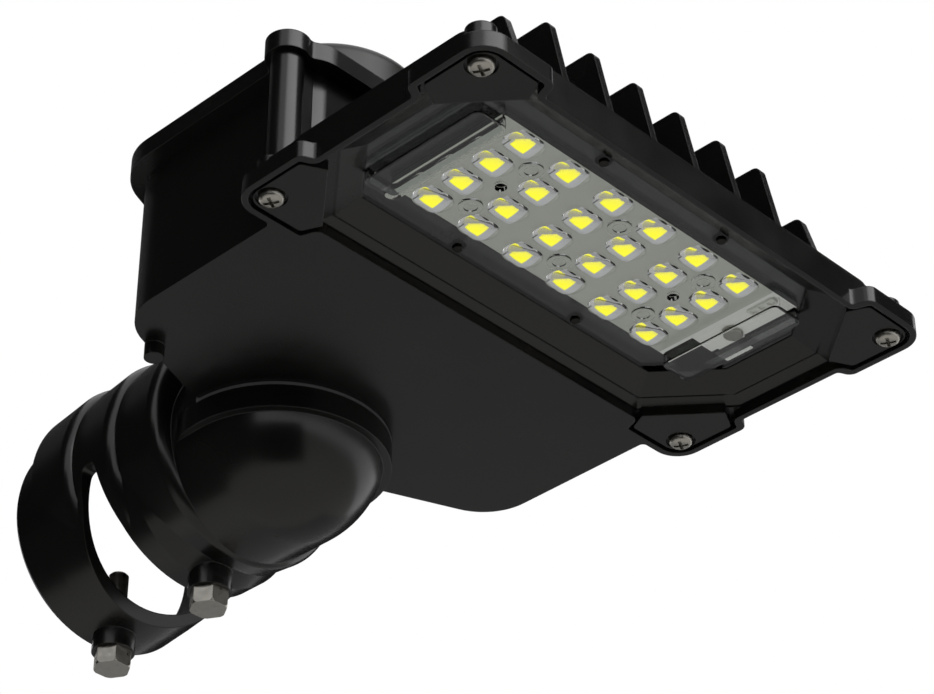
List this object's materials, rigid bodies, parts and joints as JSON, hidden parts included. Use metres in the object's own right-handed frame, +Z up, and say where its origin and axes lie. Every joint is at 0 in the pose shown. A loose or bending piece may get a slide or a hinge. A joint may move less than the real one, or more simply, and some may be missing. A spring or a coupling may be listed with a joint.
{
  "type": "shoebox area light",
  "caption": "Pole-mounted shoebox area light: finned LED head in a bezel, driver box with cover, photocell and a slip fitter clamped by bolts.",
  "frame": {"origin": "on the pole socket's axis, inside its rear clamp ring", "axes": "+Z up with the lamp facing down, +Y out of the socket's mouth towards the pole, +X along the lamp head"},
  "size_m": [0.1744, 0.2435, 0.143],
  "materials": {
    "powder_coat": "satin black powder coat on die-cast aluminium",
    "stainless": "plain stainless screws and bolts",
    "clear_lens": "clear moulded optic plate",
    "silicone": "grey silicone gasket",
    "white_board": "white solder mask on an aluminium board",
    "phosphor": "yellow LED phosphor",
    "connector_nylon": "white nylon",
    "thermal_pad": "grey-blue thermal pad",
    "driver_case": "folded aluminium driver case",
    "surge_case": "black potted case",
    "terminal_plastic": "off-white terminal block",
    "cell_plastic": "dark grey moulded photocell cap",
    "cell_base": "black moulded receptacle",
    "blade_brass": "plain brass contact blades"
  },
  "bodies": {
    "fixture": {"bezel_frame": "powder_coat", "bezel_screws": "stainless", "board_connectors": "connector_nylon", "board_screw": "stainless", "cover_gasket": "silicone", "cover_screws": "stainless", "driver_screws": "stainless", "fitter_gasket": "silicone", "fitter_screws": "stainless", "housing": "powder_coat", "led_board": "white_board", "led_chips": "phosphor", "led_driver": "driver_case", "lens_gasket": "silicone", "lens_panel": "clear_lens", "lens_screws": "stainless", "photocell_base": "cell_base", "photocell_seal": "silicone", "slip_fitter": "powder_coat", "surge_protector": "surge_case", "terminal_block": "terminal_plastic", "thermal_pad": "thermal_pad", "top_cover": "powder_coat", "wire_grommet": "silicone"},
    "clamp_bolt_rear": {"clamp_bolt_rear": "stainless"},
    "clamp_bolt_front": {"clamp_bolt_front": "stainless"},
    "photocell": {"photocell_cap": "cell_plastic", "photocell_blades": "blade_brass"}
  },
  "joints": [
    {"name": "rear_clamp_travel", "type": "slide", "parent": "fixture", "child": "clamp_bolt_rear", "axis": [0, 0, -1], "range_m": [0, 0.017]},
    {"name": "front_clamp_travel", "type": "slide", "parent": "fixture", "child": "clamp_bolt_front", "axis": [0, 0, -1], "range_m": [0, 0.017]},
    {"name": "photocell_twist", "type": "hinge", "parent": "fixture", "child": "photocell", "pos_m": [-0.0182, -0.09485, 0.0612], "axis": [0, 0, 1], "range_deg": [0, 20]}
  ]
}
